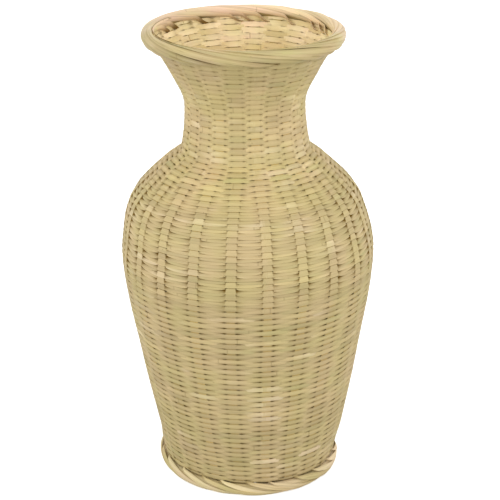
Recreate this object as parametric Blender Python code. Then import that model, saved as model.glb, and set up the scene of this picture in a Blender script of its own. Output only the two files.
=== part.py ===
"""A woven cane vase: upright stakes, woven courses, a round base mat and two rolled borders.

Metres, +Z up. The origin is the middle of the foot, on the surface that the vase stands on.
The stakes run from the base mat out to the foot, up the wall and into the rim. Each course
passes outside one stake and inside the next, and its neighbour does the opposite.
"""

import math

import bmesh
import bpy
from mathutils import Vector

# Strips
FIT = 0.0003                # gap between pieces that touch
STAKE_PAIRS = 11            # stakes stand in opposite pairs, so a course closes on itself
STAKE_WIDTH = 0.0080
STAKE_THICKNESS = 0.0010
WEAVER_THICKNESS = 0.0008

# Turned shape of the wall: outer radii, and the rise from each station to the next
FOOT_RADIUS = 0.0770
LOWER_RISE = 0.0970
LOWER_RADIUS = 0.0963
BELLY_RISE = 0.0910
BELLY_RADIUS = 0.1093
SHOULDER_RISE = 0.0480
SHOULDER_RADIUS = 0.0985
COLLAR_RISE = 0.0340
COLLAR_RADIUS = 0.0690
NECK_FOOT_RISE = 0.0130
NECK_FOOT_RADIUS = 0.0550
NECK_RISE = 0.0360
NECK_RADIUS = 0.0513
FLARE_RISE = 0.0340
FLARE_RADIUS = 0.0645
LIP_RISE = 0.0200
LIP_RADIUS = 0.0760

# Base
MAT_RADIUS = 0.0480
MAT_THICKNESS = 0.0032
STAKE_TUCK = 0.0040         # how far a stake's foot goes into the mat's edge
FOOT_BEND = 0.0020          # how far each way the stakes take to turn from base to wall

# Rolled borders
STRAND_WIDTH = 0.0034
STRAND_THICKNESS = 0.0012
RIM_OVERHANG = 0.0033       # from the lip of the wall out to the middle of the roll
RIM_CLIMB = 0.0067          # and up to it
RIM_HOOP_RADIUS = 0.0044    # of the hoop's own round section
RIM_STRANDS = 7
FOOT_RING_INSET = 0.0026    # middle of the foot hoop, in from the wall above it
FOOT_HOOP_RADIUS = 0.0044
FOOT_HOOP_DROP = 0.0060     # middle of the hoop above its flat sole
FOOT_SOLE_WIDTH = 0.0052
FOOT_FLANK = 47.0           # degrees below level where the hoop's flanks leave its round
FOOT_STRANDS = 3
FOOT_STRAND_START = -52.0   # degrees round the hoop's section, from straight outwards
FOOT_STRAND_END = 83.0
HOOP_SIDES = 8

# Counts that set how finely the shape is made
WALL_COURSES = 22
BASE_COURSES = 2
BEND_STEPS = 2
RING_STEPS = 44
CURVE_STEPS = 40            # samples of the wall's curve between two stations
BEND_WEIGHT = 0.020         # courses get narrower where the wall bends
SMOOTH_ANGLE = 45.0         # degrees; sharper edges than this stay sharp

STAKES = 2 * STAKE_PAIRS
STAKE_PITCH = 2 * math.pi / STAKES
FIRST_STAKE = -math.pi / 2 + STAKE_PITCH / 2
WAVE = (STAKE_THICKNESS + WEAVER_THICKNESS) / 2 + FIT
HALF_WALL = WAVE + WEAVER_THICKNESS / 2
FOOT_RING_RADIUS = FOOT_RADIUS - FOOT_RING_INSET
SAME_POINT = FIT / 100      # points closer than this are one

# Finishes: colour and roughness
STRAW = (0.56, 0.44, 0.21)
GREEN_STRAW = (0.47, 0.41, 0.20)
PEACH = (0.64, 0.42, 0.25)
DARK_STRAW = (0.43, 0.33, 0.15)
CANE_ROUGHNESS = 0.55
BORDER_ROUGHNESS = 0.45
STAKE_TONES = 4             # neighbouring stakes differ a little, in a cycle of so many tones
COURSE_TINTS = (STRAW, GREEN_STRAW, STRAW, PEACH)
TINT_SHARE = 0.4


def clear_scene():
    """Remove what the file opens with."""
    for thing in list(bpy.data.objects):
        bpy.data.objects.remove(thing, do_unlink=True)


def cane(name, colour, roughness):
    """A matt cane finish."""
    material = bpy.data.materials.new(name)
    material.use_nodes = True
    shader = material.node_tree.nodes["Principled BSDF"]
    shader.inputs["Base Color"].default_value = (*colour, 1.0)
    shader.inputs["Roughness"].default_value = roughness
    shader.inputs["Metallic"].default_value = 0.0
    return material


def blend(first, second, share):
    """A colour between two others."""
    return tuple(a + (b - a) * share for a, b in zip(first, second))


def add_object(name, shape, colour, roughness):
    """Turn a finished bmesh into a named object with its own material."""
    bmesh.ops.recalc_face_normals(shape, faces=shape.faces)
    mesh = bpy.data.meshes.new(name)
    shape.to_mesh(mesh)
    shape.free()
    mesh.shade_smooth()
    mesh.set_sharp_from_angle(angle=math.radians(SMOOTH_ANGLE))
    mesh.materials.append(cane(name + "_finish", colour, roughness))
    thing = bpy.data.objects.new(name, mesh)
    bpy.context.collection.objects.link(thing)
    return thing


def loft(sections, closed):
    """Join equal sections, given as lists of points, into one closed solid."""
    shape = bmesh.new()
    rings = [[shape.verts.new(point) for point in section] for section in sections]
    pairs = list(zip(rings, rings[1:]))
    if closed:
        pairs.append((rings[-1], rings[0]))
    for ring, following in pairs:
        for corner in range(len(ring)):
            beside = (corner + 1) % len(ring)
            shape.faces.new((ring[corner], ring[beside], following[beside], following[corner]))
    if not closed:
        shape.faces.new(rings[0])
        shape.faces.new(rings[-1])
    return shape


def turned(outline):
    """Spin a closed outline of (radius, height) points round the vase's axis."""
    shape = bmesh.new()
    corners = [shape.verts.new((radius, 0, height)) for radius, height in outline]
    edges = [shape.edges.new(pair) for pair in zip(corners, corners[1:] + corners[:1])
             if pair[0].co.x > 0 or pair[1].co.x > 0]
    bmesh.ops.spin(shape, geom=corners + edges, cent=(0, 0, 0), axis=(0, 0, 1),
                   angle=2 * math.pi, steps=RING_STEPS, use_merge=True)
    bmesh.ops.remove_doubles(shape, verts=shape.verts, dist=SAME_POINT)
    return shape


def stations():
    """Outer wall's (radius, height) stations, from where it leaves the base up to the lip."""
    height = base_height() + FOOT_BEND
    found = [(FOOT_RADIUS, height)]
    for rise, radius in ((LOWER_RISE, LOWER_RADIUS), (BELLY_RISE, BELLY_RADIUS),
                         (SHOULDER_RISE, SHOULDER_RADIUS), (COLLAR_RISE, COLLAR_RADIUS),
                         (NECK_FOOT_RISE, NECK_FOOT_RADIUS), (NECK_RISE, NECK_RADIUS),
                         (FLARE_RISE, FLARE_RADIUS), (LIP_RISE, LIP_RADIUS)):
        height += rise
        found.append((radius, height))
    return found


def base_height():
    """Middle of the base, so that its last course rests on the foot hoop."""
    inward = max(FOOT_RING_RADIUS - base_end(), 0.0)
    hoop_top = math.sqrt(max(FOOT_HOOP_RADIUS ** 2 - inward ** 2, 0.0))
    return FOOT_HOOP_DROP + hoop_top + FIT + HALF_WALL


def base_end():
    """Radius at which the flat base ends and the stakes begin to turn up."""
    return FOOT_RADIUS - HALF_WALL - FOOT_BEND


def slopes(points):
    """Slope at each station that lets the curve through them neither dip nor bulge past them."""
    steps = [((r1 - r0) / (z1 - z0), z1 - z0) for (r0, z0), (r1, z1) in zip(points, points[1:])]
    found = [steps[0][0]]
    for (before, short), (after, long) in zip(steps, steps[1:]):
        if before * after <= 0:
            found.append(0.0)
            continue
        first, second = 2 * long + short, long + 2 * short
        found.append((first + second) / (first / before + second / after))
    return found + [steps[-1][0]]


def wall_curve():
    """Middle of the wall as closely spaced (radius, height) vectors: the outer curve, set in."""
    points = stations()
    tilt = slopes(points)
    outer = []
    for index, ((r0, z0), (r1, z1)) in enumerate(zip(points, points[1:])):
        span = z1 - z0
        for step in range(CURVE_STEPS):
            t = step / CURVE_STEPS
            radius = ((1 + 2 * t) * (1 - t) ** 2 * r0 + t * (1 - t) ** 2 * span * tilt[index]
                      + t * t * (3 - 2 * t) * r1 - t * t * (1 - t) * span * tilt[index + 1])
            outer.append(Vector((radius, z0 + span * t)))
    outer.append(Vector(points[-1]))
    middle = []
    for index, point in enumerate(outer):
        ahead = outer[min(index + 1, len(outer) - 1)] - outer[max(index - 1, 0)]
        outward = Vector((ahead.y, -ahead.x)).normalized()
        middle.append(point - outward * HALF_WALL)
    return middle


def rim_middle():
    """Middle of the rolled rim, as (radius, height)."""
    lip_radius, lip_height = stations()[-1]
    return Vector((lip_radius + RIM_OVERHANG, lip_height + RIM_CLIMB))


def course_levels():
    """Edges of the wall's courses along its curve, closer together where it bends."""
    curve = wall_curve()
    reach = RIM_HOOP_RADIUS + STRAND_THICKNESS + 2 * FIT
    while (curve[-1] - rim_middle()).length < reach:
        curve.pop()
    cost = [0.0]
    for before, here, after in zip(curve, curve[1:], curve[2:] + [curve[-1] * 2 - curve[-2]]):
        bend = (here - before).angle(after - here)
        cost.append(cost[-1] + (here - before).length + BEND_WEIGHT * bend)
    levels = []
    for edge in range(WALL_COURSES + 1):
        wanted = cost[-1] * edge / WALL_COURSES
        index = max(i for i, value in enumerate(cost) if value <= wanted + SAME_POINT)
        levels.append(curve[index])
    return levels


def base_levels():
    """Edges of the courses woven round the stakes' feet, from the mat outwards."""
    start, height = MAT_RADIUS + FIT / 2, base_height()
    return [Vector((start + (base_end() - start) * edge / BASE_COURSES, height))
            for edge in range(BASE_COURSES + 1)]


def stake_path():
    """Points that every stake follows, and where its base and wall courses start in the list."""
    base = base_levels()
    wall = course_levels()
    path = [Vector((MAT_RADIUS - STAKE_TUCK, base_height()))] + base
    corner = Vector((wall[0].x, base_height()))
    for step in range(1, BEND_STEPS + 1):
        t = step / (BEND_STEPS + 1)
        path.append(base[-1] * (1 - t) ** 2 + corner * 2 * t * (1 - t) + wall[0] * t * t)
    wall_start = len(path)
    path += wall
    into_roll = (rim_middle() - wall[-1]).normalized()
    path.append(rim_middle() - into_roll * (RIM_HOOP_RADIUS + FIT))
    return path, 1, wall_start


def outward_normals(path):
    """Direction across the strip at each point, lengthened in a bend so the strip keeps its gap."""
    runs = [(after - before).normalized() for before, after in zip(path, path[1:])]
    found = []
    for before, after in zip([runs[0]] + runs, runs + [runs[-1]]):
        along = (before + after).normalized()
        across = Vector((along.y, -along.x))
        found.append(across / along.dot(after))
    return found


def place(point, azimuth, sideways=0.0):
    """A (radius, height) point turned to an azimuth and shifted along the tangent."""
    return Vector((point.x * math.cos(azimuth) - sideways * math.sin(azimuth),
                   point.x * math.sin(azimuth) + sideways * math.cos(azimuth), point.y))


def add_stakes(path, normals):
    """One upright strip for each place round the vase."""
    half, thick = STAKE_WIDTH / 2, STAKE_THICKNESS / 2
    for number in range(STAKES):
        azimuth = FIRST_STAKE + number * STAKE_PITCH
        sections = [[place(point + normal * thick, azimuth, half),
                     place(point + normal * thick, azimuth, -half),
                     place(point - normal * thick, azimuth, -half),
                     place(point - normal * thick, azimuth, half)]
                    for point, normal in zip(path, normals)]
        colour = blend(DARK_STRAW, STRAW, (number % STAKE_TONES) / STAKE_TONES)
        add_object(f"stake_{number + 1:02d}", loft(sections, False), colour, CANE_ROUGHNESS)


def add_course(name, path, normals, start, phase, colour):
    """A strip woven over one stake and under the next, between two points of the stakes' path."""
    low, high = path[start], path[start + 1]
    along = (high - low).normalized() * FIT / 2
    edges = ((low + along, normals[start]), (high - along, normals[start + 1]))
    half = STAKE_WIDTH / 2 + FIT
    sections = []
    for number in range(STAKES):
        side = WAVE if (number + phase) % 2 else -WAVE
        azimuth = FIRST_STAKE + number * STAKE_PITCH
        outer, inner = side + WEAVER_THICKNESS / 2, side - WEAVER_THICKNESS / 2
        for sideways in (-half, half):
            sections.append([place(edges[0][0] + edges[0][1] * inner, azimuth, sideways),
                             place(edges[0][0] + edges[0][1] * outer, azimuth, sideways),
                             place(edges[1][0] + edges[1][1] * outer, azimuth, sideways),
                             place(edges[1][0] + edges[1][1] * inner, azimuth, sideways)])
    add_object(name, loft(sections, True), colour, CANE_ROUGHNESS)


def add_courses(path, normals, base_start, wall_start):
    """The courses of the base, from the mat outwards, then those of the wall, upwards."""
    for number in range(BASE_COURSES):
        add_course(f"base_course_{number + 1}", path, normals, base_start + number, number,
                   DARK_STRAW)
    for number in range(WALL_COURSES):
        tint = COURSE_TINTS[number % len(COURSE_TINTS)]
        add_course(f"wall_course_{number + 1:02d}", path, normals, wall_start + number,
                   number + BASE_COURSES, blend(STRAW, tint, TINT_SHARE))


def add_base_mat():
    """The round mat, with a groove in its edge that grips the feet of the stakes."""
    middle, half = base_height(), MAT_THICKNESS / 2
    gap = STAKE_THICKNESS / 2 + FIT
    edge, bottom = MAT_RADIUS - FIT / 2, MAT_RADIUS - STAKE_TUCK - FIT
    outline = [(0, middle - half), (edge, middle - half), (edge, middle - gap),
               (bottom, middle - gap), (bottom, middle + gap), (edge, middle + gap),
               (edge, middle + half), (0, middle + half)]
    add_object("base_mat", turned(outline), DARK_STRAW, CANE_ROUGHNESS)


def around(centre, radius, degrees):
    """A point round a border's section, from straight outwards towards the top."""
    angle = math.radians(degrees)
    return Vector((centre.x + radius * math.cos(angle), centre.y + radius * math.sin(angle)))


def add_strands(name, centre, hoop_radius, count, start, end, tint):
    """Flat strands that go once round the border, clockwise from above, as they climb its hoop."""
    cell = (end - start) / count
    inner = hoop_radius + FIT
    outer = inner + STRAND_THICKNESS
    steps = round(RING_STEPS * (count - 1) / count)
    half = STRAND_WIDTH / 2
    for number in range(count):
        sections = []
        for step in range(steps + 1):
            share = step / steps
            lean = start + cell * (0.5 + (count - 1) * share)
            azimuth = -2 * math.pi * (number + (count - 1) * share) / count
            tangent = around(Vector((0, 0)), 1.0, lean + 90)
            section = []
            for radius, sideways in ((inner, -half), (outer, -half), (outer, half), (inner, half)):
                section.append(place(around(centre, radius, lean) + tangent * sideways, azimuth))
            sections.append(section)
        colour = blend(STRAW, tint, number / count)
        add_object(f"{name}_{number + 1}", loft(sections, False), colour, BORDER_ROUGHNESS)


def add_rim(path):
    """The hoop over the tips of the stakes, and the strands laid round it on both sides of them."""
    centre = rim_middle()
    turn = 360 / HOOP_SIDES
    section = [around(centre, RIM_HOOP_RADIUS, (corner + 0.5) * turn)
               for corner in range(HOOP_SIDES)]
    add_object("rim_hoop", turned(section), STRAW, BORDER_ROUGHNESS)
    back = path[-2] - centre
    into = math.degrees(math.atan2(back.y, back.x))
    clearance = STAKE_THICKNESS / 2 + FIT
    opening = math.degrees(math.asin(clearance / (RIM_HOOP_RADIUS + FIT)))
    add_strands("rim_strand", centre, RIM_HOOP_RADIUS, RIM_STRANDS,
                into + opening, into + 360 - opening, PEACH)


def add_foot():
    """The hoop that the vase stands on, flat underneath, and the strands round its outside."""
    centre = Vector((FOOT_RING_RADIUS, FOOT_HOOP_DROP))
    half = HOOP_SIDES // 2
    upper = [around(centre, FOOT_HOOP_RADIUS, 180 * corner / half) for corner in range(half + 1)]
    inner_flank = around(centre, FOOT_HOOP_RADIUS, 180 + FOOT_FLANK)
    outer_flank = around(centre, FOOT_HOOP_RADIUS, -FOOT_FLANK)
    sole = [Vector((centre.x + side * FOOT_SOLE_WIDTH / 2, 0.0)) for side in (-1, 1)]
    add_object("foot_hoop", turned(upper + [inner_flank] + sole + [outer_flank]), STRAW,
               BORDER_ROUGHNESS)
    add_strands("foot_strand", centre, FOOT_HOOP_RADIUS, FOOT_STRANDS,
                FOOT_STRAND_START, FOOT_STRAND_END, GREEN_STRAW)


def main():
    clear_scene()
    path, base_start, wall_start = stake_path()
    normals = outward_normals(path)
    add_stakes(path, normals)
    add_courses(path, normals, base_start, wall_start)
    add_base_mat()
    add_rim(path)
    add_foot()


main()
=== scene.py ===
"""Looks of the woven cane vase: every strip is woven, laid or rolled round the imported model."""

from math import cos, pi, radians, tan
import bmesh
import bpy
import numpy as np
from bpy.props import FloatProperty, FloatVectorProperty, IntProperty, PointerProperty
from mathutils import Matrix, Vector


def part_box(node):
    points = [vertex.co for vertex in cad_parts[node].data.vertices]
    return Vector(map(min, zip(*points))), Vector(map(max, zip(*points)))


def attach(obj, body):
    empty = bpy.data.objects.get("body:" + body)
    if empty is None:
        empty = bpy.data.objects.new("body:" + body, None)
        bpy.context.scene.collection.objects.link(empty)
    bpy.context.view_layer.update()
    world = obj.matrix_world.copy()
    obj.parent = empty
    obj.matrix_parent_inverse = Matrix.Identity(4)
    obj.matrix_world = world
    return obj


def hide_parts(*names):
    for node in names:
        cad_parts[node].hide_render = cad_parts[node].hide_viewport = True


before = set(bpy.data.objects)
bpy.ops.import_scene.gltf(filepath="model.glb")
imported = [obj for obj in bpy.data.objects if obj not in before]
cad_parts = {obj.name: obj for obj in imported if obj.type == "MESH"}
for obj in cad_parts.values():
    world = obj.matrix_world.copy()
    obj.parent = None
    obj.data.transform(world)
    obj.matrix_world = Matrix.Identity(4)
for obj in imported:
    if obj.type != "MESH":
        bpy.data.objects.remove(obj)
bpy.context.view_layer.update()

bl_info = {
    "name": "Woven Cane Vase",
    "version": (1, 0, 0),
    "blender": (4, 5, 0),
    "location": "3D View > Sidebar > Vase",
    "description": "Weaves a cane vase strip by strip round its packed model",
    "category": "Object",
}

BODY = "root"

# Turned shape of the wall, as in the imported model: outer radius and height of each station
HALF_WALL = 0.00125
BASE_HEIGHT = 0.012185
MAT_RADIUS = 0.0480
BASE_END = 0.0734
BEND = 0.0020
WALL_STATIONS = (
    (0.0770, 0.000), (0.0963, 0.097), (0.1093, 0.188), (0.0985, 0.236), (0.0690, 0.270),
    (0.0550, 0.283), (0.0513, 0.319), (0.0645, 0.353), (0.0760, 0.373),
)
CURVE_STEPS, BASE_STEPS, BEND_STEPS = 40, 24, 8
MAT_GRIP = 0.004  # how far the mat's edge grips a stake
RIM_MIDDLE = (0.0793, 0.3939)
FOOT_MIDDLE = (0.0744, 0.0060)
HOOP_RADIUS = 0.0044

STAKES = 22
PITCH = 2 * pi / STAKES
FIRST_STAKE = -pi / 2 + PITCH / 2
STAKE_WIDTH = 0.0076
STAKE_THICKNESS = 0.00081
STAKE_TIP = 0.0015  # how far a stake stands past the lip
STAKE_SECTIONS = 150
STAKE_SHADE = 0.2
STAKE_GRAIN, ROW_GRAIN = 0.71, 0.37  # from one strip's grain to the next one's
STRIP_CORNERS = 10

# The real vase isn't quite true: its rim dips to the right, its foot sits a little to the left
# and is pressed out of round, and its shoulder is fuller on the left
RIM_DIP = radians(0.95)
FOOT_SHIFT = -0.0028
FOOT_SKEW = 0.055
SHOULDER_SHIFT = -0.0026
DIP_HEIGHTS, FOOT_HEIGHTS = (0.325, 0.385), (0.014, 0.045)
FULLER_START, FULLER_END = (0.215, 0.245), (0.278, 0.300)
FULLEST_LEFT = 0.08  # the shoulder is fullest from so far left

# Corners of a strip's section, in half widths across and in thicknesses out: the upper edge, the
# outer face downwards, the lower edge, and the inner face back up
OUTER_HALF = np.array(((1.0, 0.0), (0.93, 0.44), (0.30, 0.50), (-0.03, 0.50), (-0.93, 0.44)))
ACROSS, OUT = np.concatenate([OUTER_HALF, -OUTER_HALF]).T
UPPER_HALF, AT_EDGE = ACROSS > 0, np.abs(ACROSS) > 0.8
INNER_FACE = OUT < -0.2
SHARP_ANGLE = radians(50)


# ---- settings

def number(name, description, default, **kind):
    return FloatProperty(name=name, description=description, default=default, **kind)


def length(name, description, default):
    return number(name, description, default, unit="LENGTH", precision=5)


def colour(name, description, default):
    return FloatVectorProperty(name=name, description=description, default=default,
                               subtype="COLOR", size=3, min=0, max=1)


class WeaveSettings(bpy.types.PropertyGroup):
    """Sizes of the woven rows."""

    row_pitch: length("Row Pitch", "From one row to the next along the wall", 0.00258)
    strip_width: length("Strip Width", "Width of a weaver", 0.00505)
    strip_thickness: length("Strip Thickness", "Thickness of a weaver", 0.00044)
    wave: length("Wave", "How far a weaver stands out over a stake", 0.00095)
    seed: IntProperty(name="Seed", description="Start of the random numbers", default=7)


class BorderSettings(bpy.types.PropertyGroup):
    """Sizes of the rolled rim and foot."""

    strand_width: length("Strand Width", "Width of a border strand", 0.0041)
    strand_thickness: length("Strand Thickness", "Thickness of a border strand", 0.0007)
    strand_reach: number("Strand Reach", "How far round the vase one strand runs",
                         radians(146), subtype="ANGLE")
    foot_reach: number("Foot Strand Reach", "How far round the foot one strand runs",
                       radians(128), subtype="ANGLE")


class ColourSettings(bpy.types.PropertyGroup):
    """Colours of the cane."""

    straw: colour("Straw", "Most of the cane", (0.60, 0.475, 0.235))
    green: colour("Green Straw", "Cane cut close under the green skin", (0.53, 0.465, 0.215))
    pale: colour("Pale Straw", "Freshly split cane", (0.75, 0.62, 0.365))
    peach: colour("Peach", "Pinkish cane from near the core", (0.82, 0.60, 0.41))
    core: colour("Core Brown", "Stakes, deep in the weave", (0.50, 0.36, 0.13))
    bark: colour("Bark Brown", "Specks and nodes", (0.20, 0.12, 0.045))
    # the colour that the painted shade between the strips is mixed towards
    hollow: colour("Hollow Brown", "Dust and shade between the strips", (0.185, 0.105, 0.012))


class StageSettings(bpy.types.PropertyGroup):
    """Floor, light and camera."""

    floor: colour("Floor", "Colour of the floor", (0.9, 0.9, 0.9))
    sky: number("Sky", "Strength of the even light from all round", 0.88)
    key: number("Key", "Power of each of the two soft lights from the sides", 8.2, unit="POWER")
    focal_length: number("Focal Length", "Focal length of the camera in millimetres", 118.3)


# ---- the wall's shape

def station_slopes(points):
    """Slope at each station that lets the curve neither dip nor bulge past the stations."""
    steps = [((r1 - r0) / (z1 - z0), z1 - z0) for (r0, z0), (r1, z1) in zip(points, points[1:])]
    found = [steps[0][0]]
    for (before, short), (after, long) in zip(steps, steps[1:]):
        if before * after <= 0:
            found.append(0.0)
            continue
        first, second = 2 * long + short, long + 2 * short
        found.append((first + second) / (first / before + second / after))
    return found + [steps[-1][0]]


def directions(points, *spacing):
    along = np.gradient(points, *spacing, axis=0)
    return along / np.linalg.norm(along, axis=1)[:, None]


def wall_middle():
    """Middle of the wall from its foot to its lip, as an array of (radius, height)."""
    slopes = station_slopes(WALL_STATIONS)
    outer = []
    for index, ((r0, z0), (r1, z1)) in enumerate(zip(WALL_STATIONS, WALL_STATIONS[1:])):
        span = z1 - z0
        t = np.arange(CURVE_STEPS) / CURVE_STEPS
        radius = ((1 + 2 * t) * (1 - t) ** 2 * r0 + t * (1 - t) ** 2 * span * slopes[index]
                  + t * t * (3 - 2 * t) * r1 - t * t * (1 - t) * span * slopes[index + 1])
        outer.append(np.stack([radius, z0 + span * t], 1))
    outer.append(np.array([WALL_STATIONS[-1]]))
    outer = np.concatenate(outer) + (0, BASE_HEIGHT + BEND)
    along = directions(outer)
    return outer - np.stack([along[:, 1], -along[:, 0]], 1) * HALF_WALL


class Meridian:
    """The line that every stake follows, from the base mat out and up to the lip."""

    def __init__(self):
        wall = wall_middle()
        base = np.stack([np.linspace(MAT_RADIUS - MAT_GRIP, BASE_END, BASE_STEPS),
                         np.full(BASE_STEPS, BASE_HEIGHT)], 1)
        corner = np.array((wall[0, 0], BASE_HEIGHT))
        t = (np.arange(1, BEND_STEPS) / BEND_STEPS)[:, None]
        bend = base[-1] * (1 - t) ** 2 + corner * 2 * t * (1 - t) + wall[0] * t * t
        self.points = np.concatenate([base, bend, wall])
        steps = np.linalg.norm(np.diff(self.points, axis=0), axis=1)
        self.reach = np.concatenate([[0], np.cumsum(steps)])
        self.wall_start = self.reach[len(base) + len(bend)]
        self.along = directions(self.points, self.reach)

    def at(self, reach):
        """(radius, height) and outward direction at a distance along the line."""
        reach = np.asarray(reach)
        point, along = (
            np.stack([np.interp(reach, self.reach, line[:, axis]) for axis in (0, 1)], -1)
            for line in (self.points, self.along))
        past = np.maximum(reach - self.reach[-1], 0) + np.minimum(reach, 0)
        outward = np.stack([along[..., 1], -along[..., 0]], -1)
        outward /= np.hypot(along[..., 0], along[..., 1])[..., None]
        return point + past[..., None] * along, outward


MERIDIAN = Meridian()


def ease(low, high, value):
    """0 below low, 1 above high, and a smooth rise between."""
    t = np.clip((np.asarray(value) - low) / (high - low), 0, 1)
    return t * t * (3 - 2 * t)


# ---- strips

def mesh_of(shape, name):
    mesh = bpy.data.meshes.new(name)
    shape.to_mesh(mesh)
    shape.free()
    return mesh


def places_of(mesh):
    place = np.empty(len(mesh.vertices) * 3)
    mesh.vertices.foreach_get("co", place)
    return place.reshape(-1, 3)


def put(scene, name, data, place=None):
    """A new object in the scene."""
    thing = bpy.data.objects.new(name, data)
    if place:
        thing.matrix_world = place
    scene.collection.objects.link(thing)
    return thing


class Strip:
    """A straight strip of so many sections, ready to be bent."""

    def __init__(self, sections):
        shape = bmesh.new()
        bmesh.ops.create_cone(shape, cap_ends=True, cap_tris=False, segments=STRIP_CORNERS,
                              radius1=1, radius2=1, depth=1)
        sides = [edge for edge in shape.edges
                 if abs(edge.verts[0].co.z - edge.verts[1].co.z) > 0.5]
        bmesh.ops.subdivide_edges(shape, edges=sides, cuts=sections - 2, use_grid_fill=True)
        self.mesh = mesh_of(shape, "straight_strip")
        place = places_of(self.mesh)
        self.section = np.rint((place[:, 2] + 0.5) * (sections - 1)).astype(int)
        turn = np.arctan2(place[:, 1], place[:, 0]) / (2 * pi) * STRIP_CORNERS
        self.corner = np.rint(turn).astype(int) % STRIP_CORNERS


def add_piece(name, strip, runs, slot, node):
    """One piece of several bent strips. A run is its corners' places, grain and tint."""
    shape = bmesh.new()
    for _ in runs:
        shape.from_mesh(strip.mesh)
    finish_piece(name, mesh_of(shape, name), slot, node, *(
        np.concatenate([run[index][strip.section, strip.corner] for run in runs])
        for index in range(3)))


def finish_piece(name, mesh, slot, node, places, grain, tint):
    """Place a mesh, give it its slot's finish and let it stand for its CAD node."""
    mesh.vertices.foreach_set("co", settled(places).astype(np.float32).ravel())
    # the tint holds a tone, a lightness that carries some painted light, and painted shade
    for attribute, values in (("grain", grain), ("tint", tint)):
        mesh.attributes.new(attribute, "FLOAT_VECTOR", "POINT").data.foreach_set(
            "vector", values.astype(np.float32).ravel())
    mesh.update()
    mesh.shade_smooth()
    mesh.set_sharp_from_angle(angle=SHARP_ANGLE)
    mesh.materials.append(finish_for(slot))
    piece = put(bpy.context.scene, name, mesh)
    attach(piece, BODY)
    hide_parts(node)


def settled(places):
    """Places on a true vase, moved as the real one has settled."""
    x, y, z = places[..., 0], places[..., 1], places[..., 2]
    dip = -(x + RIM_MIDDLE[0]) * tan(RIM_DIP) * ease(*DIP_HEIGHTS, z)
    shift = (FOOT_SHIFT - FOOT_SKEW * y) * (1 - ease(*FOOT_HEIGHTS, z))
    fuller = ease(*FULLER_START, z) * (1 - ease(*FULLER_END, z))
    shift = shift + SHOULDER_SHIFT * fuller * np.clip(-x / FULLEST_LEFT, 0, 1)
    return np.stack([x + shift, y, z + dip], -1)


def turned(radius, height, azimuth):
    """Points at a radius, height and azimuth."""
    return np.stack([radius * np.cos(azimuth), radius * np.sin(azimuth), height], -1)


def spread(values, shape):
    """Three values for each corner of each section."""
    return np.stack([np.broadcast_to(value, shape) for value in values], -1)


# ---- weave

# Sections of a strip from the middle of the stake that it passes outside to the middle of the
# next, in hundredths. First how far out its lower half lies, in waves: the upper half lies as
# far in, read from the other end, so each strip's lower edge covers the strip below.
LOWER_HALF = np.array((
    100, 100, 98, 92, 80, 72, 60, 42, 30, 36, 52, 50, 12, -74, -98, -100, -100)) / 100
LOW_LOWER_HALF = np.array((
    100, 100, 99, 97, 94, 89, 72, 47, 22, -12, -50, -80, -90, -95, -98, -100, -100)) / 100
STEPS_TO_STAKE = 16
# How wide its lower half is: it leaves a pocket open where it comes out from behind a stake.
# The upper half narrows less, and is read from the other end.
LOWER_WIDTH = np.array((
    105, 105, 104, 100, 100, 100, 100, 100, 93, 76, 46, 16, 10, 50, 100, 105, 105)) / 100
LOW_LOWER_WIDTH = np.array((
    103, 103, 100, 92, 88, 91, 98, 100, 100, 100, 98, 91, 88, 92, 100, 103, 103)) / 100
UPPER_SHARE = 0.45
# Then how much painted shade its outer corners get in the hollows, from the upper edge downwards.
# The inner corners' are these, read from the other end.
PROUD, DEEP = ((10, 0, 0, 0, 0),), ((100, 100, 100, 100, 100),)
HOLLOW = np.array(2 * PROUD + (
    (20, 5, 0, 0, 0), (80, 50, 40, 5, 0), (100, 100, 100, 85, 5), (100, 100, 100, 85, 5),
    (100, 100, 100, 55, 0), (100, 100, 85, 22, 0), (100, 90, 45, 5, 0), (100, 85, 30, 0, 0),
    (100, 80, 20, 0, 0), (100, 90, 30, 10, 15), (100, 100, 90, 70, 80)) + 4 * DEEP) / 100
LOW_HOLLOW = np.array((
    (70, 30, 2, 0, 38), (70, 30, 2, 0, 38), (80, 36, 2, 0, 42), (90, 42, 2, 0, 46),
    (90, 44, 2, 0, 46), (90, 44, 0, 0, 38), (90, 44, 0, 0, 24), (90, 44, 0, 0, 10),
    (90, 45, 10, 0, 0), (100, 60, 35, 15, 10), (100, 90, 70, 55, 50),
    (100, 100, 95, 90, 90)) + 5 * DEEP) / 100
LEAVES, LEAVES_BY = (0.0042, 0.0009), 0.30  # where a strip leaves a stake, and at most
CROWN_SHARES = (0, 0.5, 0.8)
EDGE_STEPS = (-0.0003, 0.0002, 0.0009, 0.0028, 0.0060)  # on from there
EDGE_SHARES = (0.0, 0.09, 0.28, 0.52, 0.76)  # and at most, of the way to the middle
CROWN_STEPS = 2  # sections from a stake's middle that lie flat over it

# Heights between which the weave changes
LOW_WALL_END = (0.178, 0.208)
BELLY_END = (0.205, 0.240)
SHOULDER_START = (0.225, 0.255)
COLLAR_START = (0.250, 0.280)
NECK_START = (0.258, 0.285)
NECK_MIDDLE = (0.290, 0.305)
SHOULDER_END = (0.295, 0.325)
NECK_END = (0.350, 0.380)
UPPER_LOOK, BELLY_TIGHT, COLLAR_TIGHT = 0.9, 0.38, 0.20

# Widths of the strips, against the strip width
WIDTH_CHANCE = (0.02, 0.015)  # from stake to stake and from row to row
LOW_NARROWER, UPPER_WIDER = 0.13, 0.11
LEAST_WIDTH = 0.1
POCKET, POCKET_SIDES, POCKET_EDGES = 0.56, 0.80, 0.45  # wider at the vase's sides
POCKET_CHANCE = 0.38
POCKET_LIMITS = (0.15, 1.45)
UPPER_POCKET_SIDES = 0.5
UPPER_STEADIER = 0.2
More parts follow.
